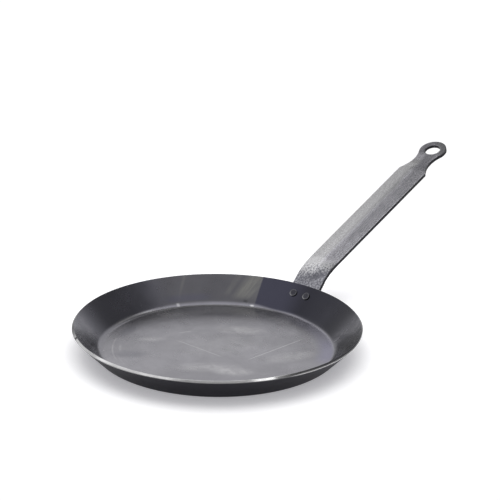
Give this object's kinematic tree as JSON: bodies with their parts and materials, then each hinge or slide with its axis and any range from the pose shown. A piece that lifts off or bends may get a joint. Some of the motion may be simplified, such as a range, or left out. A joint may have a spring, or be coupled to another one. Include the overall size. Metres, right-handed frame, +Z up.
{
  "type": "crepe pan",
  "caption": "Low round steel crepe pan with a flat base and a flared wall, and a long strip handle riveted to the wall that ends in a hanging eye.",
  "frame": {"origin": "centre of the underside of the pan's flat base", "axes": "+X along the handle, away from the pan; +Y to the left of the handle; +Z up"},
  "size_m": [0.4382, 0.24, 0.104],
  "materials": {
    "blued_steel": "satin",
    "strip_steel": "satin",
    "rivet_steel": "satin"
  },
  "bodies": {
    "root": {"pan_body": "blued_steel", "handle": "strip_steel", "rivet_left": "rivet_steel", "rivet_right": "rivet_steel"}
  },
  "joints": []
}
